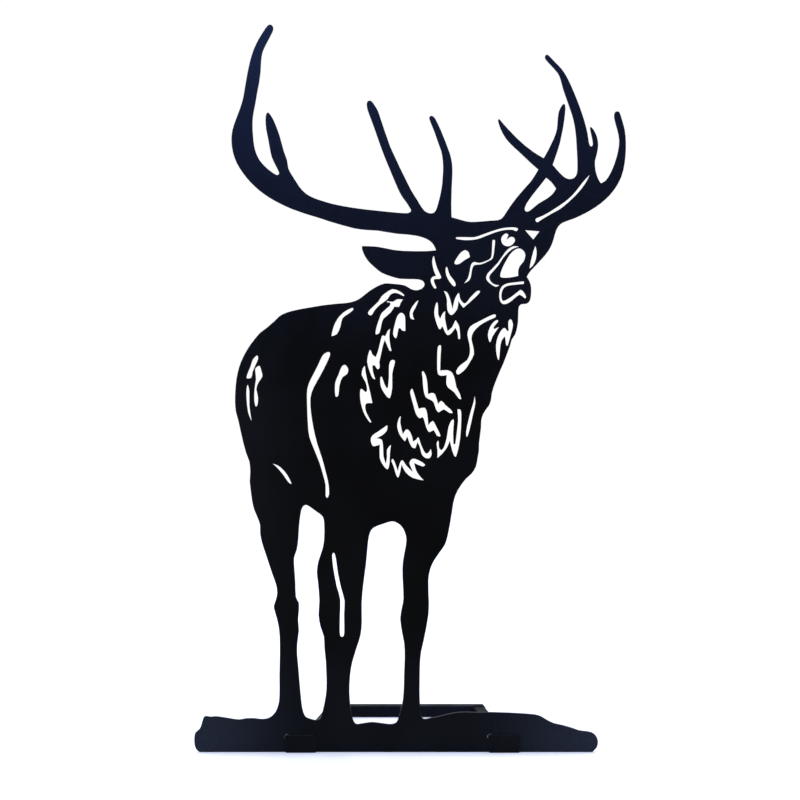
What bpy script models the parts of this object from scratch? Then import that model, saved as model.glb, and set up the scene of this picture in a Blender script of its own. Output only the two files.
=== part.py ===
"""A bellowing stag cut from one sheet of steel, standing on a welded foot frame.

The sheet stands upright in the XZ plane and faces -Y. Its lower edge, the two front feet, the
two side bars and the rear bar all rest on the ground at z = 0. The origin is the middle of the
footprint, on the ground.
"""
import math

import bpy
from mathutils import Vector

# Driving sizes in metres
HEIGHT = 1.200
SHEET_THICKNESS = 0.004
STAND_DEPTH = 0.250
BAR_SIZE = 0.020
BAR_EDGE_RADIUS = 0.0018
REAR_BAR_LENGTH = 0.288
FEET_SPACING = 0.335
FOOT_WIDTH = 0.050
FOOT_HEIGHT = 0.027
FOOT_DEPTH = 0.005
FOOT_EDGE_RADIUS = 0.0012
WELD_GAP = 0.0003

# The stag is drawn on a square grid, x to the right and y down, which is scaled so that the
# drawing's top and bottom lines lie HEIGHT apart. Every point below is a share of that height.
SKETCH_TOP = 24.4
SKETCH_BOTTOM = 752.0
SKETCH_LEFT = 194.2
SKETCH_RIGHT = 625.9
SKETCH_FEET_MIDDLE = 402.5
SKETCH_FRAME_MIDDLE = 406.0
UNIT = HEIGHT / (SKETCH_BOTTOM - SKETCH_TOP)
SKETCH_MIDDLE = (SKETCH_LEFT + SKETCH_RIGHT) / 2

# Places that follow from the sizes
FEET_MIDDLE_X = (SKETCH_FEET_MIDDLE - SKETCH_MIDDLE) * UNIT
FRAME_MIDDLE_X = (SKETCH_FRAME_MIDDLE - SKETCH_MIDDLE) * UNIT
SHEET_FRONT_Y = -(SHEET_THICKNESS + STAND_DEPTH - FOOT_DEPTH - WELD_GAP) / 2
SHEET_BACK_Y = SHEET_FRONT_Y + SHEET_THICKNESS
SIDE_BAR_START_Y = SHEET_BACK_Y + WELD_GAP
REAR_BAR_BACK_Y = SIDE_BAR_START_Y + STAND_DEPTH - WELD_GAP
REAR_BAR_FRONT_Y = REAR_BAR_BACK_Y - BAR_SIZE
SIDE_BAR_END_Y = REAR_BAR_FRONT_Y - WELD_GAP

# A round stretch is cut into chords that leave the curve by no more than this, on the grid
CHORD_BULGE = 0.15
MOST_CHORDS = 6

PAINT_COLOR = (0.0045, 0.0055, 0.009, 1.0)
PAINT_ROUGHNESS = 0.42
STEEL_METALLIC = 0.0

# A point marked C is a sharp corner, all others lie on a smooth line
C = "corner"

OUTLINE = [
    # main beam of the near antler, down its inner side from the tip
    (270, 24.4), (272.6, 26), (273, 29.5), (270, 36), (265.3, 45), (262.3, 52), (261, 60),
    (260.3, 72), (259, 82), (257, 92), (255, 104), (253.4, 112), (252.4, 120), (252.4, 130),
    (253.3, 141), (255, 150), (258, 157.5), (262, 163.3), (267, 168.3), (272.5, 172.5),
    (277, 175), (279, 173.2),
    # bez tine
    (277.3, 169), (275, 164.5), (271.6, 157), (269.8, 149), (268, 139), (266, 129),
    (265.4, 120), (266, 114.5), (267.8, 112.3), (270, 114.3), (273, 119), (276, 126),
    (279, 134), (281.5, 143), (284, 152), (286.8, 159.5), (288.2, 168), (291.5, 174.5),
    (295, 180), (299.5, 187), (305, 192.8), (311, 196.6), (319, 199.8), (328, 202.6),
    (338, 205), (350, 207.2), (365, 209.3), (380, 210.9), (395, 212.4), (405, 213.1),
    (409, 212.6), (411, 210.3),
    # trez tine
    (409.3, 207), (406.5, 202.5), (402.8, 197.6), (399.5, 192), (395, 182), (390, 170),
    (385, 158), (380, 144.7), (375, 130.3), (370.5, 118), (367.4, 109.5), (366.6, 104),
    (367.6, 101.2), (369.6, 100.5), (372, 101.6), (374.8, 105.5), (378, 111), (380.7, 119),
    (384.2, 129.5), (389.8, 145.5), (395, 157), (400, 167.8), (405.8, 179.5), (411.3, 190.5),
    (417, 199.5), (421, 206.3), (425, 211.2), (430, 213.3), (434, 212.4), (436.3, 209),
    # brow tine
    (438.4, 202), (440.6, 193), (442.3, 182), (443, 171), (442.8, 161), (441.2, 151),
    (438, 142), (434.5, 132), (431.3, 124), (429.3, 118.6), (429.5, 116.6), (431.5, 115.7),
    (434.4, 117.5), (438, 124), (442, 133), (446, 143), (449.7, 153), (452, 163),
    (452.4, 174), (451.7, 188), (451.3, 204), (451.6, 217.2, C),
    # forehead
    (457, 218.7), (463, 220.4), (470, 221.8), (480, 221.5), (490, 220.6), (498, 220),
    (502.3, 217.8),
    # far antler, up the near side of its beam
    (506, 212.5), (511, 205), (517, 197), (523, 190), (530, 182.3), (534.5, 175.8),
    (538.4, 169.3, C), (531, 162.8), (521, 153.3), (511, 144), (505.3, 137.3), (501, 129.5),
    (498.6, 122.8), (498.1, 119.8), (499.5, 119.2), (503.5, 124), (510, 131), (517, 138.3),
    (525, 145.5), (534, 152.3), (543.7, 158.1, C), (549, 148.5), (553.8, 138.5), (557, 129),
    (557.8, 119), (559, 111), (562, 105.2), (564.2, 103.8), (565.4, 107), (564.8, 116),
    (563, 128.5), (560.2, 142), (556.5, 154), (552.7, 164.8, C), (558.5, 171.5),
    (564, 176.8), (569, 179), (574, 177.8), (577, 173.3), (577.6, 165), (577.2, 153),
    (576.4, 139), (574.8, 125.5), (572, 114), (567.5, 101), (563.3, 89), (560.8, 79.5),
    (558, 73), (552, 66), (546.7, 60.3), (544.9, 57), (546, 54.8), (548.7, 55.4),
    (555, 62), (562, 69.3), (568, 79), (574.5, 93.5), (580, 107.5), (584.3, 120.5),
    (587.5, 133), (588.9, 142.5), (590.9, 146.4), (593, 143.8), (591.9, 136.5),
    (590.4, 129.5), (590.6, 126.7), (594, 130.3), (597, 137), (598.2, 145), (597, 153.5),
    (595, 161), (595.5, 170), (597.8, 178), (600.8, 183.1, C), (605.5, 180.6), (610.5, 173.2),
    (615, 162.5), (618.2, 151), (619.4, 140), (617.5, 129.5), (614.6, 119), (614.6, 112.9),
    (617, 111.2), (619.6, 112.4), (622, 119.5), (624.8, 130), (625.9, 142), (625.5, 156),
    (623.3, 170.5), (619, 182), (612.5, 192), (605, 199.8), (596, 206.8), (585, 213.3),
    (574, 218.4), (564, 222), (559, 225.6), (555.8, 231.5), (553.4, 240), (550, 248.3),
    (544.5, 256), (537, 264.3), (530.5, 271), (526.8, 276.8, C),
    # chin, throat and chest
    (529.5, 281.3), (531.1, 287), (531, 295), (529.7, 301), (526.5, 303.7), (521.5, 304.2),
    (518.8, 307), (518.3, 314), (518, 322), (516.8, 329), (515, 334.7), (511.7, 339.7),
    (510.3, 345), (507, 354), (503.6, 363), (500, 371), (496.5, 379.5), (493.5, 387.5),
    (491.9, 393), (491, 400), (489, 405.6), (485.6, 410), (483, 414.5), (481.3, 420.5),
    (481, 428), (480, 436), (479.1, 443), (478.9, 451), (477.5, 459), (475.8, 467),
    (471.5, 473.8), (466, 478.8), (460.5, 486), (456, 494), (453.3, 503), (451.8, 513),
    (450, 524), (447.8, 535.5), (445, 544.5), (439.5, 552.6), (433.8, 561), (430, 570),
    (428.4, 580), (428.5, 592), (429, 603), (428.4, 615), (426.5, 627), (423.8, 640),
    (421.3, 651), (420, 663), (419.7, 679), (419.6, 694), (420, 706), (421, 715),
    (424, 719.3),
    # ground, from the front leg to the right end and back along the bottom
    (430, 718.2), (438, 716.8), (447, 714.4), (456, 712.7), (466, 712.2), (478, 712.5),
    (492, 712.4), (508, 712.9), (524, 713.8), (535, 714.8), (541, 716.5), (547, 720.1),
    (554, 723.5), (563, 725.5), (571, 727.7), (579, 730.6), (588, 731.7), (593.5, 733.5),
    (597, 737.6), (598, 742.6), (596.8, 747.5), (592.5, 752, C), (199.4, 752, C),
    (196, 749.2), (194.4, 744.5), (194.2, 738), (195.2, 732.8), (199.4, 729),
    (201.7, 723.2), (203.4, 717.5), (206.3, 716.3), (210.5, 717), (215.5, 716.5),
    (223, 717.5), (231, 718.8), (239, 719.8), (246, 718.6), (253, 718.4), (260, 719.2),
    (266, 719), (271, 716.8), (275.3, 712), (278.2, 704.5),
    # hind leg, rump and back
    (279.3, 695), (279.3, 675), (279.7, 655), (279.5, 636), (277.9, 623.5), (275, 612.5),
    (273.6, 606.5), (275.4, 600.7), (277, 593.5), (276, 585), (272.5, 575), (269, 564.5),
    (265, 552.5), (261.7, 542), (260, 533), (259.9, 525), (257.5, 518), (254, 509.5),
    (251.9, 500.5), (250.6, 491), (249.6, 481.5), (250.1, 472), (249.2, 461.5),
    (245.8, 452.5), (243.2, 443), (240.9, 433), (238.4, 421.5), (235.8, 412),
    (234.9, 402), (235.2, 391), (236.3, 379), (239, 367), (242.8, 357.5), (248, 348),
    (254, 339.8), (260, 332.7), (267.5, 327), (273.5, 321.8), (279.5, 316), (287, 312.3),
    (297, 309.7), (309, 307.5), (322, 305.3), (336, 303.7), (347, 302.8), (355.5, 300.7),
    (362, 296.8), (369, 291.2), (377, 286.3), (384.5, 283.4), (391.5, 283.6),
    (399, 284.3), (405.5, 285.7), (411, 289), (416.5, 290.2), (421.8, 288.5),
    (424.5, 284.5), (422.7, 280.8), (417.5, 279.2), (409, 279), (400, 278.7),
    # ear
    (391, 276.3), (382, 272.9), (376, 268.5), (369.5, 262.6), (365, 256.4), (362, 249.5),
    (362, 246, C), (369, 246.1), (377, 246.6), (385, 248.1), (393, 249.7), (403, 250.8),
    (415, 251.1), (427, 251), (436, 250.2, C), (434, 245.5), (430.2, 241), (424, 237.7),
    (416, 235.5), (407, 234.3), (398, 233.7),
    # underside of the near antler, back to the tip
    (388, 232.2), (378, 230.5), (366, 229.8), (354, 228.2), (342, 225), (330, 221.5),
    (318, 217.5), (305, 213.6), (292, 209), (280, 203.5), (269, 197.4), (259, 190.2),
    (250, 181.8), (242.5, 172.6), (236.5, 162.8), (232.8, 152.3), (231.3, 141),
    (232.2, 130.5), (235.5, 120), (240, 108), (243.2, 97), (245, 86), (247.3, 73),
    (250.2, 60), (253.5, 49.5), (258, 40), (263, 31.8), (267, 26),
]

LEG_GAPS = {
    "hind": [
        (305.5, 505), (302, 508), (300.3, 515), (299, 526), (298.2, 539), (296.8, 549.5),
        (294, 557.5), (294.2, 568), (295.2, 582), (295.8, 597), (298.7, 603), (298.8, 611),
        (298, 620), (298.8, 631), (297.3, 643), (297, 654), (298.3, 668), (299.6, 684),
        (301, 699), (302.3, 709), (305, 716.5), (309.5, 718.9), (315.5, 720.4),
        (320, 718.6), (322.3, 712), (324.5, 702), (326.3, 690), (326.3, 676), (325.7, 662),
        (324.3, 648), (323.7, 636.5), (320.4, 627), (318.4, 615), (319.2, 601),
        (318, 584), (316.7, 572), (318.3, 561), (322, 550), (324, 539), (324, 522.5),
        (322, 516), (316.5, 511.8), (310, 507),
    ],
    "fore": [
        (391.5, 521.4), (397, 522.9), (401.8, 526.8), (405, 533), (406.3, 540.5),
        (404.7, 551), (402.6, 563), (402.4, 577), (403.3, 598), (401.4, 609.5),
        (400.1, 619), (401.7, 631), (404, 643), (404.6, 657), (404, 674), (403.5, 692),
        (402, 705), (399, 716), (396, 722.8), (390, 724.4), (382, 723.5), (372, 722.4),
        (362, 723.7), (355.5, 724), (352, 717), (350.3, 706), (349.3, 692), (350, 676),
        (352.3, 662), (356.5, 648), (360.5, 635.5), (361.8, 622), (361.7, 603),
        (363.5, 583), (366, 564), (367.4, 549), (368.6, 538), (371, 530.5), (375.5, 526.7),
        (383, 524),
    ],
}

HEAD_CUTS = {
    "antler_line": [
        (589.9, 174.6, C), (583, 182), (576.5, 190.5), (569.5, 198), (561, 204.5),
        (551, 211), (543, 215.5), (536.8, 218), (535.4, 220), (537.2, 222.2),
        (542, 219.2), (551, 213.9), (560, 208.9), (568.5, 202), (577.5, 193.2),
        (585, 183.7),
    ],
    "antler_window": [
        (546.3, 177.5, C), (551.5, 181.8), (556.2, 188.2, C), (553, 193.3), (547, 198.4),
        (538.5, 203.4), (530.5, 210), (526.5, 211.5), (524.7, 209), (527, 203),
        (533.5, 193.8), (540.5, 185),
    ],
    "brow_line": [
        (456, 238.2), (457, 237), (466, 237), (474.5, 237), (482, 234.6), (491, 231.3),
        (500, 228.5), (509, 227.2), (516, 227.4), (518.1, 229), (516, 231.2),
        (512.5, 229.7), (504, 230), (494.5, 232.5), (485, 236.2), (476.5, 239.2),
        (466, 240.1), (457, 239),
    ],
    "eye": [
        (508.5, 234.7, C), (506.3, 233.1), (502.8, 235.5), (501.1, 239.5), (502.9, 244.3),
        (507.5, 246.3), (512, 244.7), (515.1, 240.5), (513.8, 237.3), (510.3, 236.8),
        (506.3, 240, C),
    ],
    "brow_triangle": [(525, 230, C), (539.5, 231.2, C), (533.2, 239.4, C)],
    "jaw_slit": [
        (535.4, 245.8, C), (536.7, 251), (535.9, 259), (533, 265.3), (529.5, 268.4, C),
        (531, 260.5), (533.3, 251.5),
    ],
    "muzzle_line": [
        (519.5, 246.6, C), (513.5, 246), (507.5, 249.6), (502.5, 256), (498, 262.5),
        (491.5, 269.4), (487, 274.4), (486.4, 279.4), (490.5, 283.8), (495.8, 286.8),
        (499.3, 285.1, C), (494.5, 284.3), (490.6, 281), (489.2, 276.5), (492.5, 271.8),
        (498.5, 265), (503, 258), (508.5, 252), (513.5, 248.3),
    ],
    "open_mouth": [
        (519.8, 248.3), (523.8, 250.8), (525.4, 255), (523.7, 261.2), (519.7, 266),
        (518.2, 271), (518.3, 275.8, C), (510, 277.4), (502.5, 277.6), (500.2, 275.6),
        (501.8, 269.5), (505.3, 262.3), (510, 254.4), (515.2, 249.5),
    ],
    "lip_line": [
        (524, 281.2, C), (515.5, 282.2), (507.5, 283.3), (502, 286.3), (499.4, 292.5),
        (499.7, 299.8), (502.5, 303.8), (507, 303.6), (512.5, 300), (519.5, 294.5),
        (524.5, 298.2), (526.1, 296.4), (523.5, 291.7), (520.7, 289.8), (517.6, 292),
        (511.5, 296.7), (505.5, 300.3), (502.3, 300.2), (501.4, 295), (503, 289),
        (507.3, 285.8), (515.5, 284.6), (523.9, 283.8, C),
    ],
    "cheek_line": [
        (493.8, 239.7), (495.1, 241), (494.3, 249.5), (492.8, 258), (488.5, 261),
        (481, 264.3), (474.3, 265), (472, 269.5), (470.8, 277), (468.3, 281), (464, 283.2, C),
        (467.7, 278.6), (469.7, 271.5), (471, 264.8), (474, 261.8), (479.5, 262.8),
        (486, 260.8), (491, 257.7), (492, 250), (492.4, 241),
    ],
    "temple": [
        (465.5, 250), (468.7, 252.2), (469.9, 257, C), (464.5, 260), (459, 263.9),
        (454.9, 264), (455, 261), (458.7, 255), (462, 251.5),
    ],
    "ear_root": [
        (433.7, 255.8), (434.9, 260.5), (437.3, 268.5), (441, 276.5), (439.5, 278.8),
        (434.5, 278.9), (434, 282), (436.3, 287.3), (434.5, 288.3), (431.8, 284.5),
        (430.6, 279.8), (432.5, 276.8), (436, 275.8, C), (433.5, 269.5), (432.2, 261.5),
    ],
    "jowl": [
        (446.9, 266.7), (448.1, 270.2), (450, 275.2), (454, 280.3), (455.7, 284.5),
        (453.9, 286.3), (449.8, 282), (446.3, 275.3), (445.6, 269),
    ],
}

NECK_CUTS = {
    "throat_zigzag": [
        (443.8, 291), (447.3, 292.6), (450, 298.8), (452.6, 309.2, C), (454.6, 299.7),
        (458.7, 292.8), (460.3, 299), (465, 303.4), (471, 296.7), (477, 291), (480.1, 291.5),
        (475.5, 297), (463.3, 307.8, C), (458.2, 300.9, C), (457.3, 308.5), (451.5, 315.1),
        (447.3, 309.8), (447, 300), (445.3, 293.8),
    ],
    "throat_fork": [
        (437.2, 302.2), (438, 307), (438.1, 314), (440.2, 318.8, C), (442.5, 313.6),
        (445.2, 310.9, C), (445, 319), (447.5, 331, C), (452, 327.3), (455.5, 319.9, C),
        (459.3, 327), (460.2, 338.8, C), (458.3, 339, C), (457.3, 331.5), (455.2, 327.8, C),
        (451.5, 333), (447.5, 335.1), (444.8, 331.5), (442.4, 326.2), (440.8, 328.8, C),
        (438.7, 328.5), (435.7, 320.5), (434.2, 312.5), (435.5, 305),
    ],
    "neck_slit": [
        (418.2, 300), (415.5, 307.4), (412.4, 313.5), (414.2, 319.5, C), (410.6, 318.4),
        (409.8, 312.5), (412.5, 306.3),
    ],
    "crest_curve": [
        (404.1, 294.8), (399.5, 291.2), (392.5, 289), (386, 292.6), (381.5, 296.3),
        (378.3, 301.5), (372.8, 306.8), (369, 310.6), (368, 314), (371.5, 315.2),
        (374.5, 310.2), (380, 304.6), (387, 299.6), (390.5, 294.4), (395.5, 292.8),
        (400.5, 294.5), (403.2, 296),
    ],
    "crest_lock": [
        (387, 301, C), (393, 301.7), (397, 299.2), (402.8, 299.4, C), (400.2, 303.5),
        (399, 306.8), (394.4, 306.4, C), (390.5, 312.5), (383.3, 318.7), (381.2, 325),
        (379.4, 332.5), (375.5, 334), (376.8, 326), (379.6, 318), (382, 312.5),
        (389.6, 305.8), (390, 302.6), (387, 302.2, C),
    ],
    "shoulder_lock": [
        (401, 312.7), (404.6, 315.5), (405.2, 323), (405.2, 331, C), (402, 330.4),
        (400.5, 328.3), (398.3, 328.6), (397.3, 334.5), (395.6, 338.2), (393, 333.8),
        (394.6, 325), (397.2, 316.2),
    ],
    "shoulder_fork": [
        (389.9, 328.8, C), (389.2, 337), (390.2, 345.5), (391.4, 350.8, C), (389.3, 350.3),
        (386.6, 344), (384.6, 339.9, C), (382.4, 347), (380.4, 356.5), (379.2, 362),
        (379.6, 367.4), (377.3, 369.2), (375, 365.4, C), (372.3, 365.2, C), (372.8, 371.5),
        (375.2, 379.2, C), (372.5, 378), (369.5, 371), (367.1, 361.5), (368.6, 353),
        (370.4, 349.9), (372.3, 354.5), (375.7, 357.1, C), (378.3, 350), (380.8, 339.5),
        (382.5, 335.3), (385.2, 336.2), (387.5, 331),
    ],
    "mane_hook": [
        (394.9, 361.5), (393.7, 367), (392.1, 374), (392.1, 387), (390.7, 395.5),
        (388.8, 398.1), (384.5, 393.5), (380.8, 386.3), (380.2, 378.5), (381.8, 377),
        (384.3, 384), (386.6, 388.2, C), (387.9, 387.8, C), (388.9, 377), (389, 366),
        (390.6, 360.8), (393.3, 359.9),
    ],
    "mane_flag": [
        (364.8, 365.8, C), (365.6, 373), (367.7, 383), (369.8, 391.5), (372.3, 403.1, C),
        (366.6, 403.2), (365, 406.5), (366.3, 412.7), (371.2, 421.8, C), (369.7, 422.3),
        (364.8, 415), (361.8, 407), (360.2, 399.5), (360.1, 390.8), (361.9, 389),
        (365.3, 392.1), (367.1, 389.5), (365.6, 382.3), (361.6, 374.7), (363, 368),
    ],
}

MANE_CUTS = {
    "collar_slash": [
        (494.8, 314.2), (495.3, 317.2), (488.5, 320.2), (480, 325.1), (473.5, 331.8),
        (471.4, 338.5), (473, 346), (473.9, 354), (470.3, 361.3), (465.3, 369),
        (458.3, 374.4), (456.1, 371.2), (460, 365.5), (467, 360.3), (470, 352.5),
        (469.3, 343.5), (467.4, 334.5), (470.2, 326.6), (477.5, 322.2), (487.5, 317),
    ],
    "beard_fork": [
        (497, 319.9), (498, 321.6), (493.6, 327), (494.6, 329, C), (498.9, 326.9, C),
        (496, 331), (492.4, 336.5), (490.5, 341.8), (489, 340.8), (487.9, 334.5),
        (489.8, 327.5), (493.3, 322.3),
    ],
    "beard_lock": [
        (511, 319.2), (513, 324.5), (511.7, 331.5), (509.2, 340.5), (507.5, 345.6),
        (506, 344.2), (505, 336.2, C), (501.5, 340.7), (500.1, 348.5), (499.5, 356),
        (498.5, 360.2), (496.6, 354.5), (496, 345), (498, 336.5), (502, 329.4),
        (505.3, 328.1), (507.3, 330.9), (508.7, 330.7, C), (508.3, 322),
    ],
    "chest_crook": [
        (439.7, 345.1), (441, 347), (440.4, 358), (440.1, 370.6, C), (447.5, 370.2),
        (452.3, 373), (454.8, 379.5), (456.3, 387), (459.7, 393.5), (461.2, 399.2, C),
        (458.6, 398.3), (454, 392), (448, 387.5), (446.2, 382.5), (446.8, 375, C),
        (441, 375.7), (437.6, 372.5), (437.2, 360), (437.7, 348),
    ],
    "chest_zigzag": [
        (423.2, 371.4), (425.7, 375.5), (427.2, 383), (427.9, 394.2, C), (431.5, 393),
        (435, 394.5), (438.1, 404.2, C), (441.3, 400.8), (445.5, 405.2), (450.3, 409.2),
        (452.6, 412.9), (449, 412.6), (443.6, 409.3), (439, 412.2), (436, 409.3),
        (433.8, 402.5), (430.5, 399.8), (425.5, 396.8), (423.3, 388), (422.6, 378),
        (421.9, 372.5),
    ],
    "belly_zigzag": [
        (412.4, 389.2), (415.2, 397.5), (418.6, 408.9, C), (424.7, 407.8), (427.2, 414.5),
        (428.2, 425.4, C), (432.6, 420.9), (436.8, 427.8), (440.4, 435.9), (436.8, 435.5),
        (433.7, 430.1), (429.3, 432.2), (426.3, 427.5), (424, 419.5), (422.4, 417.1),
        (419.3, 418.2), (415.8, 413.5), (413.5, 405.5), (410.4, 394), (410.7, 390.3),
    ],
    "fringe_zigzag": [
        (400.6, 416.3), (400.2, 423), (402.7, 434.4, C), (406, 429.6), (409.5, 431.3),
        (412, 437), (412.9, 441.6, C), (416.3, 439.5), (418.4, 437.3), (420.6, 443.8),
        (423.6, 450.7), (426.3, 453.7), (429, 452), (430.7, 449, C), (431.6, 454),
        (429.7, 458), (425.5, 458), (421.7, 454.2), (419.7, 446.5), (417.4, 442.2, C),
        (415.2, 448.3, C), (412, 447.3), (409.3, 442), (407.2, 436.3, C), (404.9, 441.4, C),
        (400, 435.3), (397.2, 427), (398.3, 420),
    ],
    "fringe_hook": [
        (387.2, 425.2, C), (386.8, 430.5), (382, 435.3), (376, 438.3, C), (381.4, 439.5),
        (382.9, 446), (383.3, 456), (385.8, 464, C), (387, 457), (387, 449.5),
        (390.9, 444.8, C), (389.8, 453), (389.4, 463), (387.5, 469.3), (383.3, 465.5),
        (379.7, 457.5), (379.8, 444.5, C), (373.3, 446.3), (370.8, 441), (371.9, 436),
        (378.5, 431.3),
    ],
    "fringe_wave": [
        (393, 459.1), (395.5, 464.5), (397.8, 471.5, C), (399.6, 464), (402.3, 460.2),
        (406.3, 465.7), (413, 472.4, C), (411, 467.3), (409.4, 463), (412.3, 458.8),
        (418.3, 460.2), (424.8, 464.4), (422.3, 466.4), (414, 462.9, C), (415.8, 470),
        (419, 475.3), (423.6, 480.4, C), (413, 478), (405.5, 472.2), (401.5, 464.2, C),
        (399.9, 472.5), (398, 477.6), (395.8, 474), (393.6, 466.5), (391.4, 461),
    ],
    "chest_fork": [
        (438.6, 440.9), (438.8, 447), (441.2, 450.2), (444.3, 446.5), (446.8, 437.5),
        (448.4, 427.5), (451.3, 420.8), (453.8, 420.4), (453.1, 432), (453.4, 444.2, C),
        (455.3, 444.2, C), (456.8, 433), (458.1, 421), (457.4, 409.4, C), (460.7, 410.3),
        (461.2, 420), (460.2, 437), (458, 449.5), (455.3, 457), (452, 449.8),
        (449.8, 440.4, C), (447.2, 447), (442.3, 453.5), (437.4, 458, C), (437.5, 450.5),
        (436.6, 443.5),
    ],
    "breast_slit": [
        (474.6, 396, C), (475.3, 403.5), (473, 414), (470.8, 424), (468.6, 433),
        (466.7, 437), (466.2, 431.5), (468.3, 421), (471.3, 409.5), (473.6, 402),
    ],
}

FLANK_CUTS = {
    "rump_dash": [
        (256.8, 355.4), (257.9, 359), (255, 365.7), (252.4, 372), (251.2, 377.5),
        (246.6, 378.2), (247.3, 373.8), (250.3, 366.5), (252.6, 359.7),
    ],
    "rump_lock": [
        (259.4, 365.8), (261.5, 372), (262.2, 376.5), (258.3, 382.5), (256.2, 389),
        (257.9, 397.5), (257.3, 404.7), (255.2, 406.1), (254, 398), (254.5, 387.5),
        (255.8, 379), (255, 370.5), (255.7, 367.8),
    ],
    "rump_slit": [
        (247.5, 384.7), (249.2, 391.5), (249.3, 406), (251.6, 421.5, C), (247.8, 412),
        (246.3, 398), (246.3, 389.5),
    ],
    "flank_line": [
        (328, 352), (330, 354.3), (326.8, 362.5), (320.5, 375), (313.5, 387.5),
        (310.3, 398), (310.8, 412), (313.3, 428), (317, 443.5), (322, 458.5),
        (325.3, 471), (328, 482), (329, 492), (327.8, 497.3), (325.6, 496), (325.5, 485),
        (323, 475), (319.3, 462.5), (314.5, 450.5), (309.3, 437), (307.8, 424),
        (307, 405), (307.2, 389), (311, 378.5), (317.5, 366), (322.5, 355.5),
    ],
    "wither_slash": [
        (351.8, 307.9), (353, 309.9), (348, 313.9), (342.3, 318.3), (340.3, 326.5),
        (336.8, 334), (331.3, 336.2, C), (333.3, 327.3), (337.3, 319), (343.5, 312.3),
    ],
    "elbow_curve": [
        (345, 364.9), (348.1, 369), (347, 374), (342.3, 377.3), (339.3, 385.5),
        (338.3, 395), (335.3, 395.8), (335.1, 383), (338.3, 375), (341.4, 367),
    ],
    "groin_slit": [
        (272.4, 463.5, C), (278.5, 466), (284.5, 471.5), (289, 478.3), (291.5, 484, C),
        (288.5, 482.6), (283, 474.8), (277.5, 468.2),
    ],
    "foreleg_slit": [
        (333.8, 552.8), (335.7, 558.5), (337.8, 573.5), (341.2, 589), (344.3, 600.5),
        (343.9, 614), (344, 633.5), (341.6, 637), (339.8, 633), (339.9, 615),
        (340.2, 599.5), (336.5, 586), (333.7, 571), (332.1, 556.5),
    ],
}


def clear_scene():
    """Empty the scene before building."""
    for thing in list(bpy.data.objects):
        bpy.data.objects.remove(thing, do_unlink=True)


def make_collection(name):
    """A collection for the statue's pieces, linked to the scene."""
    collection = bpy.data.collections.new(name)
    bpy.context.scene.collection.children.link(collection)
    return collection


def paint_material(name):
    """Black satin paint over steel."""
    material = bpy.data.materials.new(name)
    material.use_nodes = True
    shader = material.node_tree.nodes["Principled BSDF"]
    shader.inputs["Base Color"].default_value = PAINT_COLOR
    shader.inputs["Roughness"].default_value = PAINT_ROUGHNESS
    shader.inputs["Metallic"].default_value = STEEL_METALLIC
    return material


def curve_through(before, start, end, after, share):
    """Point at a share of the way from start to end, on a Catmull-Rom curve."""
    square = share * share
    cube = square * share
    return 0.5 * (
        2 * start
        + (end - before) * share
        + (2 * before - 5 * start + 4 * end - after) * square
        + (3 * start - before - 3 * end + after) * cube
    )


def count_chords(before, start, end, after):
    """How many chords the curve from start to end needs."""
    middle = curve_through(before, start, end, after, 0.5)
    bulge = (middle - (start + end) / 2).length
    return min(MOST_CHORDS, max(1, math.ceil(math.sqrt(bulge / CHORD_BULGE))))


def smooth_loop(sketch_points):
    """Close a smooth line through drawn points, keeping the marked corners sharp."""
    corners = [len(point) == 3 for point in sketch_points]
    places = [Vector((point[0], point[1])) for point in sketch_points]
    count = len(places)
    loop = []
    for index in range(count):
        start = places[index]
        end = places[(index + 1) % count]
        before = start if corners[index] else places[index - 1]
        after = end if corners[(index + 1) % count] else places[(index + 2) % count]
        chords = count_chords(before, start, end, after)
        for step in range(chords):
            loop.append(curve_through(before, start, end, after, step / chords))
    return loop


def to_sheet(place):
    """Turn a point of the drawing into metres on the sheet, up from the ground."""
    return ((place.x - SKETCH_MIDDLE) * UNIT, (SKETCH_BOTTOM - place.y) * UNIT)


def add_spline(curve, sketch_points):
    """Add one closed line of the drawing to a flat curve."""
    loop = [to_sheet(place) for place in smooth_loop(sketch_points)]
    spline = curve.splines.new("POLY")
    spline.points.add(len(loop) - 1)
    for point, (across, up) in zip(spline.points, loop):
        point.co = (across, up, 0.0, 1.0)
    spline.use_cyclic_u = True


def make_sheet(collection, material):
    """The stag and its strip of ground, one sheet with every slit cut through."""
    curve = bpy.data.curves.new("stag_sheet", "CURVE")
    curve.dimensions = "2D"
    curve.fill_mode = "BOTH"
    curve.extrude = SHEET_THICKNESS / 2
    add_spline(curve, OUTLINE)
    for group in (LEG_GAPS, HEAD_CUTS, NECK_CUTS, MANE_CUTS, FLANK_CUTS):
        for cut in group.values():
            add_spline(curve, cut)
    sheet = bpy.data.objects.new("stag_sheet", curve)
    sheet.rotation_euler = (math.pi / 2, 0.0, 0.0)
    sheet.location = (0.0, (SHEET_FRONT_Y + SHEET_BACK_Y) / 2, 0.0)
    curve.materials.append(material)
    collection.objects.link(sheet)
    return sheet


def add_edge_bevel(piece, radius):
    """Round the edges of a bar."""
    bevel = piece.modifiers.new("rounded_edges", "BEVEL")
    bevel.width = radius
    bevel.segments = 2
    bevel.limit_method = "ANGLE"


def make_box(name, collection, material, size, centre, radius):
    """A box with rounded edges."""
    bpy.ops.mesh.primitive_cube_add(size=1.0)
    box = bpy.context.active_object
    box.name = name
    box.data.name = name
    for vertex in box.data.vertices:
        vertex.co = [part * length for part, length in zip(vertex.co, size)]
    box.location = centre
    box.data.materials.append(material)
    for owner in list(box.users_collection):
        owner.objects.unlink(box)
    collection.objects.link(box)
    add_edge_bevel(box, radius)
    return box


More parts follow.
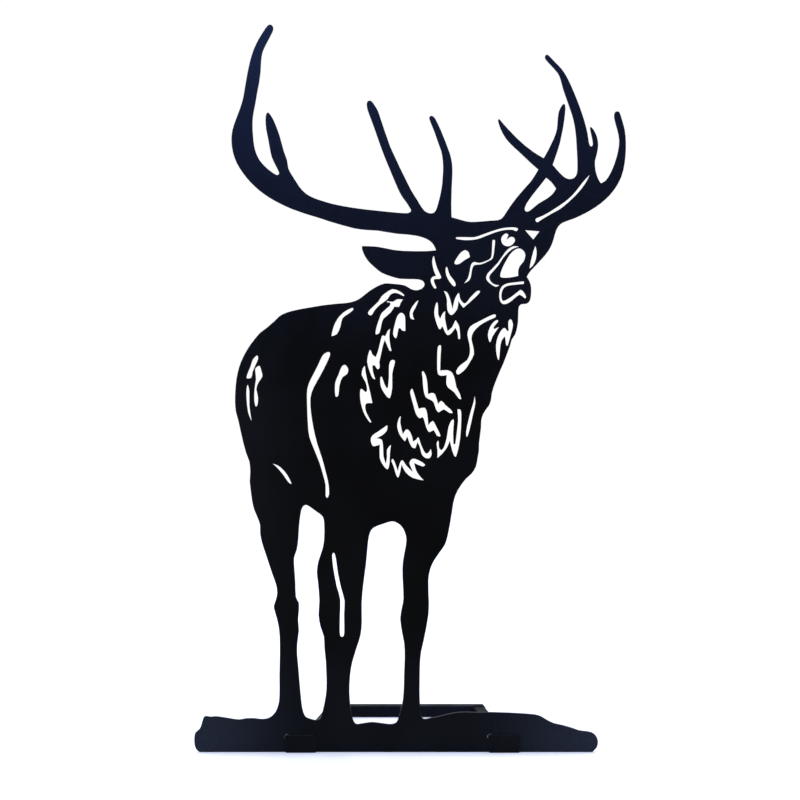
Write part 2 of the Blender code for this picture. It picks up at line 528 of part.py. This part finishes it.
def make_rear_bar(collection, material):
    """The bar that the statue leans back on."""
    size = (REAR_BAR_LENGTH, BAR_SIZE, BAR_SIZE)
    centre = (FRAME_MIDDLE_X, (REAR_BAR_FRONT_Y + REAR_BAR_BACK_Y) / 2, BAR_SIZE / 2)
    return make_box("rear_bar", collection, material, size, centre, BAR_EDGE_RADIUS)


def make_side_bar(name, side, collection, material):
    """A bar from behind a front foot to the end of the rear bar, cut square to both."""
    length = SIDE_BAR_END_Y - SIDE_BAR_START_Y
    front_x = side * FEET_SPACING / 2
    rear_x = side * (REAR_BAR_LENGTH - BAR_SIZE) / 2
    lean = (rear_x - front_x) / length
    width = BAR_SIZE * math.hypot(1.0, lean)
    centre_x = FRAME_MIDDLE_X + (front_x + rear_x) / 2
    centre = (centre_x, (SIDE_BAR_START_Y + SIDE_BAR_END_Y) / 2, BAR_SIZE / 2)
    bar = make_box(name, collection, material, (width, length, BAR_SIZE), centre, BAR_EDGE_RADIUS)
    for vertex in bar.data.vertices:
        vertex.co.x += lean * vertex.co.y
    return bar


def make_front_foot(name, side, collection, material):
    """A short flat plate welded to the front of the ground strip."""
    size = (FOOT_WIDTH, FOOT_DEPTH, FOOT_HEIGHT)
    centre_x = FEET_MIDDLE_X + side * FEET_SPACING / 2
    centre = (centre_x, SHEET_FRONT_Y - WELD_GAP - FOOT_DEPTH / 2, FOOT_HEIGHT / 2)
    return make_box(name, collection, material, size, centre, FOOT_EDGE_RADIUS)


def build():
    """Build every piece of the statue."""
    clear_scene()
    collection = make_collection("stag_statue")
    make_sheet(collection, paint_material("sheet_paint"))
    make_rear_bar(collection, paint_material("rear_bar_paint"))
    for name, side in (("left", -1), ("right", 1)):
        bar_paint = paint_material("side_bar_" + name + "_paint")
        make_side_bar("side_bar_" + name, side, collection, bar_paint)
        foot_paint = paint_material("front_foot_" + name + "_paint")
        make_front_foot("front_foot_" + name, side, collection, foot_paint)


build()
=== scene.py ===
"""A bellowing stag cut from sheet steel and painted black, standing in a pale studio.

The statue's solids come from the frame and keep their shape. This script rounds the sheet's cut
edges, paints every solid, adds the welds that hold the stand together, and sets the light and the
camera.
"""
import math
import random

import bmesh
import bpy
from mathutils import Matrix, Vector


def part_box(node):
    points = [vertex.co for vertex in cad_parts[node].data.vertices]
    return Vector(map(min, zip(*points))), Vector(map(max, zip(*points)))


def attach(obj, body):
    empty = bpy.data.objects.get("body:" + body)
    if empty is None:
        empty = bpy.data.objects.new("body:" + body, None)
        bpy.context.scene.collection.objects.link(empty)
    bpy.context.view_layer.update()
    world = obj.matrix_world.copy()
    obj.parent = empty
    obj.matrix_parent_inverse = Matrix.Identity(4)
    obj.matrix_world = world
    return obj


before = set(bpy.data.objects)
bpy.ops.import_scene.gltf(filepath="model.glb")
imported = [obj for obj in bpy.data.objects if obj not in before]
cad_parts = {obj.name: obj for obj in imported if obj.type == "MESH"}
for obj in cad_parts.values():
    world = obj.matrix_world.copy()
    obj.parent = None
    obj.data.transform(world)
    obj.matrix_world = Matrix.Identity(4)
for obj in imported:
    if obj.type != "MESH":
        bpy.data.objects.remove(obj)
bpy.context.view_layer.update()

# Where the statue stands in the photograph, which is PHOTO_SIDE pixels wide and high
PHOTO_SIDE = 800
PHOTO_LEFT = 194.2
PHOTO_TOP = 24.4
PHOTO_FOOT = 752.0

# How far the camera stands in front of the sheet, in metres, and its sensor in millimetres
CAMERA_DISTANCE = 2.13
SENSOR_WIDTH = 36.0

# The laser's sharp edge, rounded by paint, and how the solids are shaded
SHEET_EDGE_RADIUS = 0.00035
EDGE_SEGMENTS = 2
EDGE_ANGLE = math.radians(40)
SEAM_MERGE = 0.00001
SMOOTH_ANGLE = math.radians(32)
FLAT_ANGLE = math.radians(0.2)

# Weld beads, the radius of the thinner ones, and the seed of all that is uneven about the welds
WELD_SEED = 11
BEAD_RADIUS = 0.0026
FOOT_SIDE_RADIUS = BEAD_RADIUS * 0.6
BAR_SIDE_RADIUS = BEAD_RADIUS * 0.85
TACK_SIDE_RADIUS = BEAD_RADIUS * 0.6
TACK_TOP_RADIUS = BEAD_RADIUS * 0.5
TACK_LENGTH = 0.0050
BEAD_LIFT = BEAD_RADIUS * 1.3

# A bead's skin: rings of corners along it, crescent ripples, and lumps as shares of its radius
RING_STEP = 0.0005
RING_CORNERS = 14
FEWEST_RINGS = 12
RIPPLE_PITCH = 0.0028
RIPPLE_LAG = 0.45
RIPPLE_DEPTH = 0.16
RIPPLE_ROUNDNESS = 0.6
LUMPS = 23
LUMP_RANGE = (0.88, 1.08)
END_SHARE = 0.03

# Weld spatter: how far it flies, its places as shares of that, its drops and how many there are
SPATTER_REACH = 0.024
SPATTER_ASIDE = (-1.4, 1.4)
SPATTER_ABOVE = (0.08, 0.9)
SPATTER_GATHERING = 1.6
SPATTER_RADIUS = (0.0004, 0.0009)
SPATTER_FLATNESS = 0.6
SPATTER_FRONT = 14
SPATTER_BACK = 16

# Paint colours, and how strongly each surface mirrors
DEEP_BLACK = (0.0003, 0.0003, 0.0003, 1.0)
SOFT_BLACK = (0.0008, 0.0008, 0.0009, 1.0)
# Chips along the edges: wear, in a blue that also paints the light the edges catch
CHIPPED_AND_LIT_EDGE = (0.020, 0.027, 0.050, 1.0)
# Dust near the ground, blue because the same colour paints a sheen of light on the strip's ends and
# the bars
DUST_AND_SHEEN = (0.060, 0.076, 0.115, 1.0)
WELD_BLACK = (0.0008, 0.0009, 0.0012, 1.0)
# Brighter spots on the welds are painted glints
WELD_GLINT = (0.003, 0.0035, 0.005, 1.0)
# The tack at each foot's upper left corner is painted bright as a glint
TACK_GLINT = (0.012, 0.013, 0.016, 1.0)
TACK_GLINT_PEAK = (0.120, 0.128, 0.140, 1.0)
PAINT_SPECULAR = 0.030
WELD_SPECULAR = 0.07
FLOOR_SPECULAR = 0.1

# Roughness, from its lowest to its highest, and how much less of it a chip has
SHEET_GLOSS = (0.34, 0.40)
STAND_GLOSS = (0.46, 0.58)
WELD_GLOSS = (0.24, 0.42)
FLOOR_GLOSS = 0.9
CHIP_POLISH = 0.08

# Dust near the ground, with a painted bluish sheen in the same colour: how high it reaches, the
# distances aside between which it grows, and its share in the middle and at the strip's ends
DUST_AND_SHEEN_REACH = 0.26
DUST_AND_SHEEN_SIDE = (0.12, 0.36)
SHEET_DUST_AND_SHEEN = (0.04, 0.26)
BAR_DUST_AND_SHEEN = (0.11, 0.11)
FOOT_DUST_AND_SHEEN = (0.03, 0.03)

# The smoother middle of the body: the heights and the distances aside between which it fades
BODY_TOP = (0.82, 0.62)
BODY_MIDDLE = -0.03
BODY_SIDE = (0.27, 0.11)
BODY_POLISH = 0.16

# Patterns as clouds to a metre and octaves of detail, then the share of detail where it is set
CLOUDS = (7.0, 4.0)
DUST_AND_SHEEN_GRAINS = (420.0, 3.0, 0.7)
CHIPS = (90.0, 5.0, 0.65)
STREAKS = (1.0, 4.0)
STREAK_STRETCH = (26.0, 26.0, 6.0)
DRAG_LINES = (1.0, 2.0)
DRAG_STRETCH = (1500.0, 60.0, 1500.0)
GLINT_SPOTS = (310.0, 4.0, 0.6)
WELD_SHEEN = (500.0, 3.0)
FLOOR_CLOUDS = (1.3, 3.0)

# Where each pattern begins and where it is full; for the grains also their least and most dust and
# painted sheen
CLOUD_RANGE = (0.38, 0.62)
GRAIN_RANGE = (0.30, 0.80, 0.40, 0.72)
CHIP_RANGE = (0.44, 0.60)
STREAK_RANGE = (0.35, 0.65)
CREST_RANGE = (0.50, 0.68)
SHEEN_RANGE = (0.35, 0.65)
FLOOR_RANGE = (0.3, 0.7)

# How squarely a surface faces along an axis where an edge or a cut face begins and where it is full
OFF_FLAT = (0.995, 0.90)
OFF_CUT = (0.02, 0.20)
CUT_FACE = (0.5, 0.1)
OFF_SQUARE = (0.97, 0.88)

# Relief of the paint, as a pattern and its depth in metres
WARP = ((2.6, 1.0), 0.0016)
ORANGE_PEEL = ((70.0, 2.0), 0.00006)
PEBBLES = ((820.0, 2.0), 0.00003)
WELD_GRAIN = ((900.0, 3.0), 0.00012)
DRAG_DEPTH = 0.00008

# Studio
FLOOR_COLOR = (0.875, 0.875, 0.875, 1.0)
FLOOR_CLOUD_COLOR = (0.89, 0.89, 0.89, 1.0)
FLOOR_RADIUS = 60.0
FLOOR_CORNERS = 96
FLOOR_GAP = 0.0004
WORLD_COLOR = (1.0, 1.0, 1.0, 1.0)
WORLD_STRENGTH = 1.02
SUN_SPREAD = math.radians(40)
SUN_STRENGTH = 0.5
SUN_TILT = (math.radians(-12), math.radians(8), 0.0)
WHITE = (1.0, 1.0, 1.0)
SKY_BLUE = (0.13, 0.27, 1.0)
RIM_BLUE = (0.45, 0.60, 1.0)
LOW_BLUE = (0.60, 0.74, 1.0)
OPEN_BEAM = math.pi
GRIDDED_BEAM = math.radians(34)

# Lights: name, place, aim, width and height, colour, power and how far the beam fans out
PANELS = (
    ("sky_panel", (-0.3, -3.4, 2.6), (0.0, 0.0, 1.15), (3.4, 1.0), SKY_BLUE, 42, GRIDDED_BEAM),
    ("rim_panel", (-2.6, 0.6, 1.7), (0.0, 0.0, 0.7), (1.4, 2.2), RIM_BLUE, 40, OPEN_BEAM),
    ("low_panel", (-1.3, -2.6, 0.30), (-0.28, 0.0, 0.05), (0.6, 0.4), LOW_BLUE, 26, OPEN_BEAM),
    ("low_panel", (1.3, -2.6, 0.30), (0.28, 0.0, 0.05), (0.6, 0.4), LOW_BLUE, 26, OPEN_BEAM),
    ("top_panel", (0.0, 0.5, 3.2), (0.0, 0.0, 0.0), (3.0, 3.0), WHITE, 25, OPEN_BEAM),
)


# Shader building blocks

def add_node(tree, kind, **settings):
    """A new shader node with its settings."""
    node = tree.nodes.new(kind)
    for name, value in settings.items():
        setattr(node, name, value)
    return node


def noise(tree, coordinates, scale, detail, roughness=0.5):
    """Cloudy values between 0 and 1; scale counts the clouds to a metre."""
    node = add_node(tree, "ShaderNodeTexNoise")
    node.inputs["Scale"].default_value = scale
    node.inputs["Detail"].default_value = detail
    node.inputs["Roughness"].default_value = roughness
    tree.links.new(coordinates, node.inputs["Vector"])
    return node.outputs["Fac"]


def remap(tree, value, low, high, to_low=0.0, to_high=1.0):
    """Ease a value from the range low..high to the range to_low..to_high."""
    node = add_node(tree, "ShaderNodeMapRange", interpolation_type="SMOOTHSTEP")
    node.inputs["From Min"].default_value = low
    node.inputs["From Max"].default_value = high
    node.inputs["To Min"].default_value = to_low
    node.inputs["To Max"].default_value = to_high
    tree.links.new(value, node.inputs["Value"])
    return node.outputs["Result"]


def combine(tree, operation, first, second):
    """One arithmetic step on two values; either may be a plain number."""
    node = add_node(tree, "ShaderNodeMath", operation=operation)
    for socket, value in zip(node.inputs, (first, second)):
        if isinstance(value, (int, float)):
            socket.default_value = value
        else:
            tree.links.new(value, socket)
    return node.outputs["Value"]


def mix_colors(tree, share, first, second):
    """Blend two colours by a share; a colour is a plain value or another node's output.

    The node's colour sockets go by number, because it has other sockets of the same names.
    """
    node = add_node(tree, "ShaderNodeMix", data_type="RGBA")
    tree.links.new(share, node.inputs["Factor"])
    for socket, color in zip((node.inputs[6], node.inputs[7]), (first, second)):
        if isinstance(color, tuple):
            socket.default_value = color
        else:
            tree.links.new(color, socket)
    return node.outputs[2]


def bump(tree, height, distance, below=None):
    """Roughen the surface by a height of 0..1, distance metres at its most."""
    node = add_node(tree, "ShaderNodeBump")
    node.inputs["Strength"].default_value = 1.0
    node.inputs["Distance"].default_value = distance
    tree.links.new(height, node.inputs["Height"])
    if below is not None:
        tree.links.new(below, node.inputs["Normal"])
    return node.outputs["Normal"]


def stretched(tree, coordinates, stretch):
    """The same coordinates, scaled differently along each axis."""
    node = add_node(tree, "ShaderNodeVectorMath", operation="MULTIPLY")
    tree.links.new(coordinates, node.inputs[0])
    node.inputs[1].default_value = stretch
    return node.outputs["Vector"]


def facing(tree):
    """How squarely the surface faces along X, Y and Z, each 0 to 1."""
    normal = add_node(tree, "ShaderNodeNewGeometry").outputs["Normal"]
    size = add_node(tree, "ShaderNodeVectorMath", operation="ABSOLUTE")
    tree.links.new(normal, size.inputs[0])
    split = add_node(tree, "ShaderNodeSeparateXYZ")
    tree.links.new(size.outputs["Vector"], split.inputs[0])
    return split.outputs["X"], split.outputs["Y"], split.outputs["Z"]


def new_material(name):
    """An empty material: its tree, its shader and the object coordinates in metres."""
    material = bpy.data.materials.new(name)
    material.use_nodes = True
    tree = material.node_tree
    shader = tree.nodes["Principled BSDF"]
    coordinates = add_node(tree, "ShaderNodeTexCoord").outputs["Object"]
    return material, tree, shader, coordinates


# Materials

def black_paint(name, gloss_range, dust_and_sheen_range, polish, edge_share, cut_share=None):
    """Satin black paint: cloudy, lightly pebbled, thin and chipped along the edges, the chips blue
    as a painted highlight.

    gloss_range is its lowest and highest roughness, and polish is how much smoother it is down the
    middle of the body. Its dust range is the share of dust near the ground, together with a painted
    bluish sheen, in the middle and at the ends. edge_share(tree) says where an edge is, 0 to 1.
    cut_share(tree) says where the laser's cut face is, which keeps its fine drag lines.
    """
    material, tree, shader, coordinates = new_material(name)
    clouds = remap(tree, noise(tree, coordinates, *CLOUDS), *CLOUD_RANGE)
    color = mix_colors(tree, clouds, DEEP_BLACK, SOFT_BLACK)

    # Dust near the ground, stronger towards the strip's ends and on the bars: partly dust, partly a
    # painted bluish sheen
    place = add_node(tree, "ShaderNodeSeparateXYZ")
    tree.links.new(coordinates, place.inputs[0])
    near_ground = remap(tree, place.outputs["Z"], DUST_AND_SHEEN_REACH, 0.0)
    grains = remap(tree, noise(tree, coordinates, *DUST_AND_SHEEN_GRAINS), *GRAIN_RANGE)
    aside = combine(tree, "ABSOLUTE", combine(tree, "SUBTRACT", place.outputs["X"], BODY_MIDDLE), 0)
    dust_and_sheen = combine(tree, "MULTIPLY", combine(tree, "MULTIPLY", near_ground, grains),
                    remap(tree, aside, *DUST_AND_SHEEN_SIDE, *dust_and_sheen_range))
    color = mix_colors(tree, dust_and_sheen, color, DUST_AND_SHEEN)

    # Chips along the edges, blue: partly wear, partly a painted highlight of the light on the edges
    edge = edge_share(tree)
    chips = remap(tree, noise(tree, coordinates, *CHIPS), *CHIP_RANGE)
    worn_and_lit = combine(tree, "MULTIPLY", edge, chips)
    color = mix_colors(tree, worn_and_lit, color, CHIPPED_AND_LIT_EDGE)
    tree.links.new(color, shader.inputs["Base Color"])

    streaks = noise(tree, stretched(tree, coordinates, STREAK_STRETCH), *STREAKS)
    gloss = remap(tree, streaks, *STREAK_RANGE, *gloss_range)
    body = combine(tree, "MULTIPLY", remap(tree, place.outputs["Z"], *BODY_TOP),
                   remap(tree, aside, *BODY_SIDE))
    gloss = combine(tree, "ADD", gloss, combine(tree, "MULTIPLY", body, -polish))
    roughness = combine(tree, "ADD", gloss, combine(tree, "MULTIPLY", worn_and_lit, -CHIP_POLISH))
    tree.links.new(roughness, shader.inputs["Roughness"])
    shader.inputs["Specular IOR Level"].default_value = PAINT_SPECULAR
    shader.inputs["Metallic"].default_value = 0.0

    surface = None
    for pattern, depth in (WARP, ORANGE_PEEL, PEBBLES):
        surface = bump(tree, noise(tree, coordinates, *pattern), depth, surface)
    if cut_share is not None:
        lines = noise(tree, stretched(tree, coordinates, DRAG_STRETCH), *DRAG_LINES)
        drag = combine(tree, "MULTIPLY", lines, cut_share(tree))
        surface = bump(tree, drag, DRAG_DEPTH, surface)
    tree.links.new(surface, shader.inputs["Normal"])
    return material


def sheet_edge(tree):
    """The rounded rim between the sheet's flat faces and its cut face."""
    across = facing(tree)[1]
    off_flat = remap(tree, across, *OFF_FLAT)
    off_cut = remap(tree, across, *OFF_CUT)
    return combine(tree, "MULTIPLY", off_flat, off_cut)


def sheet_cut(tree):
    """The sheet's cut face, square to its flat faces."""
    return remap(tree, facing(tree)[1], *CUT_FACE)


def bar_edge(tree):
    """The rounded edges of a square bar."""
    along_x, along_y, along_z = facing(tree)
    squarest = combine(tree, "MAXIMUM", combine(tree, "MAXIMUM", along_x, along_y), along_z)
    return remap(tree, squarest, *OFF_SQUARE)


def weld_paint(name, hollow_color, glint_color):
    """Thin paint over a weld: glossier than the rest, with scattered brighter spots painted on as
    glints.
    """
    material, tree, shader, coordinates = new_material(name)
    # Scattered brighter spots on the weld: painted glints
    glints = remap(tree, noise(tree, coordinates, *GLINT_SPOTS), *CREST_RANGE)
    color = mix_colors(tree, glints, hollow_color, glint_color)
    tree.links.new(color, shader.inputs["Base Color"])
    gloss = remap(tree, noise(tree, coordinates, *WELD_SHEEN), *SHEEN_RANGE, *WELD_GLOSS)
    tree.links.new(gloss, shader.inputs["Roughness"])
    shader.inputs["Specular IOR Level"].default_value = WELD_SPECULAR
    pattern, depth = WELD_GRAIN
    surface = bump(tree, noise(tree, coordinates, *pattern), depth)
    tree.links.new(surface, shader.inputs["Normal"])
    return material


def floor_paint():
    """A pale, matt studio floor with a trace of cloudiness."""
    material, tree, shader, coordinates = new_material("studio_floor")
    clouds = remap(tree, noise(tree, coordinates, *FLOOR_CLOUDS), *FLOOR_RANGE)
    color = mix_colors(tree, clouds, FLOOR_COLOR, FLOOR_CLOUD_COLOR)
    tree.links.new(color, shader.inputs["Base Color"])
    shader.inputs["Roughness"].default_value = FLOOR_GLOSS
    shader.inputs["Specular IOR Level"].default_value = FLOOR_SPECULAR
    return material


# Statue

def smooth_by_angle():
    """A modifier's node group: drop stored normals, shade smooth, keep real corners sharp."""
    group = bpy.data.node_groups.new("smooth_by_angle", "GeometryNodeTree")
    group.interface.new_socket("Geometry", in_out="INPUT", socket_type="NodeSocketGeometry")
    group.interface.new_socket("Geometry", in_out="OUTPUT", socket_type="NodeSocketGeometry")
    entry = group.nodes.new("NodeGroupInput")
    leave = group.nodes.new("NodeGroupOutput")
    forget = group.nodes.new("GeometryNodeRemoveAttribute")
    forget.inputs["Name"].default_value = "custom_normal"
    faces = group.nodes.new("GeometryNodeSetShadeSmooth")
    faces.domain = "FACE"
    edges = group.nodes.new("GeometryNodeSetShadeSmooth")
    edges.domain = "EDGE"
    edges.inputs["Shade Smooth"].default_value = False
    angle = group.nodes.new("GeometryNodeInputMeshEdgeAngle")
    sharp = group.nodes.new("FunctionNodeCompare")
    sharp.operation = "GREATER_THAN"
    sharp.inputs["B"].default_value = SMOOTH_ANGLE
    group.links.new(entry.outputs[0], forget.inputs["Geometry"])
    group.links.new(forget.outputs["Geometry"], faces.inputs["Geometry"])
    group.links.new(faces.outputs["Geometry"], edges.inputs["Geometry"])
    group.links.new(angle.outputs["Unsigned Angle"], sharp.inputs["A"])
    group.links.new(sharp.outputs["Result"], edges.inputs["Selection"])
    group.links.new(edges.outputs["Geometry"], leave.inputs[0])
    return group


def round_and_smooth(node, group, edge_radius):
    """Close the solid's seams, round its edges by a radius over 0, and shade its curves smooth."""
    weld = node.modifiers.new("closed_seams", "WELD")
    weld.merge_threshold = SEAM_MERGE
    if edge_radius > 0:
        whole = node.modifiers.new("whole_faces", "DECIMATE")
        whole.decimate_type = "DISSOLVE"
        whole.angle_limit = FLAT_ANGLE
        bevel = node.modifiers.new("rounded_edges", "BEVEL")
        bevel.width = edge_radius
        bevel.segments = EDGE_SEGMENTS
        bevel.limit_method = "ANGLE"
        bevel.angle_limit = EDGE_ANGLE
        bevel.use_clamp_overlap = False
        bevel.miter_outer = "MITER_ARC"
    shading = node.modifiers.new("smooth_shading", "NODES")
    shading.node_group = group
    flattening = node.modifiers.new("flat_faces", "WEIGHTED_NORMAL")
    flattening.keep_sharp = True


def paint_node(node, material):
    """Give a solid of the frame its finished material."""
    for slot in node.material_slots:
        slot.material = material


def dress_solids():
    """Smooth and paint every solid of the frame, and round the sheet's cut edges.

    The bars and feet come with rounded edges of their own.
    """
    group = smooth_by_angle()
    sheet_material = black_paint("sheet_black", SHEET_GLOSS, SHEET_DUST_AND_SHEEN, BODY_POLISH, sheet_edge,
                                 sheet_cut)
    bar_material = black_paint("bar_black", STAND_GLOSS, BAR_DUST_AND_SHEEN, 0.0, bar_edge)
    foot_material = black_paint("foot_black", STAND_GLOSS, FOOT_DUST_AND_SHEEN, 0.0, bar_edge)
    for name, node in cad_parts.items():
        if name == "stag_sheet":
            round_and_smooth(node, group, SHEET_EDGE_RADIUS)
            paint_node(node, sheet_material)
        else:
            round_and_smooth(node, group, 0.0)
            paint_node(node, foot_material if name.startswith("front_foot") else bar_material)


def finish_piece(name, shape, material):
    """Turn a bmesh into a smooth, painted piece that rides with the statue."""
    mesh = bpy.data.meshes.new(name)
    bmesh.ops.recalc_face_normals(shape, faces=shape.faces)
    shape.to_mesh(mesh)
    shape.free()
    for face in mesh.polygons:
        face.use_smooth = True
    mesh.materials.append(material)
    piece = bpy.data.objects.new(name, mesh)
    bpy.context.scene.collection.objects.link(piece)
    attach(piece, "root")


def bead_swell(along, angle, length, lumps, radius):
    """The weld's radius at a place along it and around it: overlapping crescent ripples."""
    to_end = min(along, length - along)
    share = min(1.0, to_end / radius)
    rounded_end = math.sqrt(max(0.0, share * (2.0 - share)))
    phase = along / RIPPLE_PITCH + RIPPLE_LAG * (1.0 - math.cos(angle))
    lump = lumps[int(phase) % len(lumps)]
    ripple = abs(math.sin(math.pi * phase)) ** RIPPLE_ROUNDNESS
    depth = 1.0 - RIPPLE_DEPTH + RIPPLE_DEPTH * ripple
    return radius * max(END_SHARE, rounded_end) * lump * depth


def add_bead(shape, start, end, outward, radius, chance):
    """Lay one weld bead along a straight joint."""
    start = Vector(start)
    run = Vector(end) - start
    length = run.length
    forward = run.normalized()
    out = Vector(outward)
    out = (out - forward * out.dot(forward)).normalized()
    side = forward.cross(out)
    lumps = [chance.uniform(*LUMP_RANGE) for _ in range(LUMPS)]
    rings = max(FEWEST_RINGS, round(length / RING_STEP))
    before = None
    for step in range(rings + 1):
        along = length * step / rings
        ring = []
        for corner in range(RING_CORNERS):
            angle = 2 * math.pi * corner / RING_CORNERS
            swell = bead_swell(along, angle, length, lumps, radius)
            direction = out * math.cos(angle) + side * math.sin(angle)
            ring.append(shape.verts.new(start + forward * along + direction * swell))
        if before is None:
            shape.faces.new(list(reversed(ring)))
        else:
            for corner in range(RING_CORNERS):
                after = (corner + 1) % RING_CORNERS
                shape.faces.new((before[corner], before[after], ring[after], ring[corner]))
        before = ring
    shape.faces.new(before)


def foot_welds(name, chance, material):
    """Beads over the top and down both sides of a front foot, against the sheet."""
    low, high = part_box("front_foot_" + name)
    sheet_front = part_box("stag_sheet")[0].y
    shape = bmesh.new()
    inset = BEAD_RADIUS
    add_bead(shape, (low.x + inset, sheet_front, high.z), (high.x - inset, sheet_front, high.z),
             (0, -1, 1), BEAD_RADIUS, chance)
    for edge, outward in ((low.x, -1), (high.x, 1)):
        add_bead(shape, (edge, sheet_front, BEAD_LIFT), (edge, sheet_front, high.z - inset / 2),
                 (outward, -1, 0), FOOT_SIDE_RADIUS, chance)
    finish_piece("foot_welds_" + name, shape, material)


def glinting_tack(name, chance, material):
    """The short weld at a front foot's upper left corner, painted bright as a glint of light from
    the left.
    """
    low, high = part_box("front_foot_" + name)
    sheet_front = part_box("stag_sheet")[0].y
    shape = bmesh.new()
    start = (low.x - BEAD_RADIUS, sheet_front, high.z - TACK_LENGTH)
    bend = (low.x - BEAD_RADIUS / 2, sheet_front, high.z + BEAD_RADIUS / 2)
    end = (low.x + TACK_LENGTH, sheet_front, high.z + BEAD_RADIUS)
    add_bead(shape, start, bend, (-1, -1, 0), TACK_SIDE_RADIUS, chance)
    add_bead(shape, bend, end, (0, -1, 1), TACK_TOP_RADIUS, chance)
    finish_piece("glinting_tack_" + name, shape, material)


def bar_welds(name, chance, material):
    """Beads where a side bar meets the sheet's back and where it meets the rear bar."""
    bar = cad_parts["side_bar_" + name]
    low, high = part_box("side_bar_" + name)
    sheet_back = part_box("stag_sheet")[1].y
    rear_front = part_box("rear_bar")[0].y
    corners = [bar.matrix_world @ vertex.co for vertex in bar.data.vertices]
    shape = bmesh.new()
    for joint_y, bar_end, outward_y in ((sheet_back, low.y, 1), (rear_front, high.y, -1)):
        across = [corner.x for corner in corners if abs(corner.y - bar_end) < BEAD_RADIUS]
        left = min(across)
        right = max(across)
        add_bead(shape, (left, joint_y, high.z), (right, joint_y, high.z),
                 (0, outward_y, 1), BEAD_RADIUS, chance)
        for edge, outward in ((left, -1), (right, 1)):
            add_bead(shape, (edge, joint_y, BEAD_LIFT), (edge, joint_y, high.z),
                     (outward, outward_y, 0), BAR_SIDE_RADIUS, chance)
    finish_piece("bar_welds_" + name, shape, material)


def weld_spatter(chance, material):
    """Small droplets that the welding threw onto the sheet around each joint."""
    sheet_low, sheet_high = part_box("stag_sheet")
    shape = bmesh.new()
    places = []
    for name in ("left", "right"):
        foot_low, foot_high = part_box("front_foot_" + name)
        bar_low, bar_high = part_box("side_bar_" + name)
        places.append(((foot_low.x + foot_high.x) / 2, sheet_low.y, foot_high.z, SPATTER_FRONT))
        bar_end = bar_low.x if name == "left" else bar_high.x
        places.append((bar_end, sheet_high.y, bar_high.z, SPATTER_BACK))
    for centre_x, surface_y, top_z, count in places:
        for _ in range(count):
            drop = chance.uniform(*SPATTER_RADIUS)
            x = centre_x + chance.uniform(*SPATTER_ASIDE) * SPATTER_REACH
            z = top_z + chance.uniform(*SPATTER_ABOVE) ** SPATTER_GATHERING * SPATTER_REACH
            place = Matrix.Translation((x, surface_y, z))
            squash = Matrix.Diagonal((drop, drop * SPATTER_FLATNESS, drop, 1.0))
            bmesh.ops.create_icosphere(shape, subdivisions=2, radius=1.0, matrix=place @ squash)
    finish_piece("weld_spatter", shape, material)


def weld_together():
    """All the welds of the stand."""
    material = weld_paint("weld_black", WELD_BLACK, WELD_GLINT)
    # A bright weld paint for the tacks: a painted glint
    glint_paint = weld_paint("weld_glint", TACK_GLINT, TACK_GLINT_PEAK)
    chance = random.Random(WELD_SEED)
    for name in ("left", "right"):
        foot_welds(name, chance, material)
        glinting_tack(name, chance, glint_paint)
        bar_welds(name, chance, material)
    weld_spatter(chance, material)


# Studio

def lay_floor():
    """A round pale floor, wide enough to reach the horizon."""
    shape = bmesh.new()
    bmesh.ops.create_circle(shape, cap_ends=True, segments=FLOOR_CORNERS, radius=FLOOR_RADIUS)
    mesh = bpy.data.meshes.new("studio_floor")
    shape.to_mesh(mesh)
    shape.free()
    mesh.materials.append(floor_paint())
    floor = bpy.data.objects.new("studio_floor", mesh)
    floor.location = (0.0, 0.0, -FLOOR_GAP)
    bpy.context.scene.collection.objects.link(floor)


def light_world():
    """An even white surround."""
    world = bpy.data.worlds.new("studio_world")
    world.use_nodes = True
    background = world.node_tree.nodes["Background"]
    background.inputs["Color"].default_value = WORLD_COLOR
    background.inputs["Strength"].default_value = WORLD_STRENGTH
    bpy.context.scene.world = world


def add_panel(name, place, aim, size, color, power, spread):
    """A soft rectangular light that faces a point; spread is the angle its beam fans out to."""
    data = bpy.data.lights.new(name, "AREA")
    data.shape = "RECTANGLE"
    data.size, data.size_y = size
    data.color = color
    data.energy = power
    data.spread = spread
    panel = bpy.data.objects.new(name, data)
    panel.location = place
    panel.visible_camera = False
    panel.rotation_euler = (Vector(aim) - Vector(place)).to_track_quat("-Z", "Y").to_euler()
    bpy.context.scene.collection.objects.link(panel)


def light_studio():
    """Cool light from high and low in front and from the left, and white light from overhead."""
    for panel in PANELS:
        add_panel(*panel)
    data = bpy.data.lights.new("room_light", "SUN")
    data.energy = SUN_STRENGTH
    data.angle = SUN_SPREAD
    room_light = bpy.data.objects.new("room_light", data)
    room_light.rotation_euler = SUN_TILT
    bpy.context.scene.collection.objects.link(room_light)


def place_camera():
    """A level camera in front of the sheet that frames it as the photograph does."""
    low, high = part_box("stag_sheet")
    metres_per_pixel = (high.z - low.z) / (PHOTO_FOOT - PHOTO_TOP)
    data = bpy.data.cameras.new("photo_camera")
    data.sensor_fit = "HORIZONTAL"
    data.sensor_width = SENSOR_WIDTH
    data.lens = SENSOR_WIDTH * CAMERA_DISTANCE / (PHOTO_SIDE * metres_per_pixel)
    camera = bpy.data.objects.new("photo_camera", data)
    camera.location = (
        low.x + (PHOTO_SIDE / 2 - PHOTO_LEFT) * metres_per_pixel,
        low.y - CAMERA_DISTANCE,
        low.z + (PHOTO_FOOT - PHOTO_SIDE / 2) * metres_per_pixel,
    )
    camera.rotation_euler = (math.pi / 2, 0.0, 0.0)
    bpy.context.scene.collection.objects.link(camera)
    bpy.context.scene.camera = camera


dress_solids()
weld_together()
lay_floor()
light_world()
light_studio()
place_camera()
bpy.context.scene.view_settings.view_transform = "Standard"
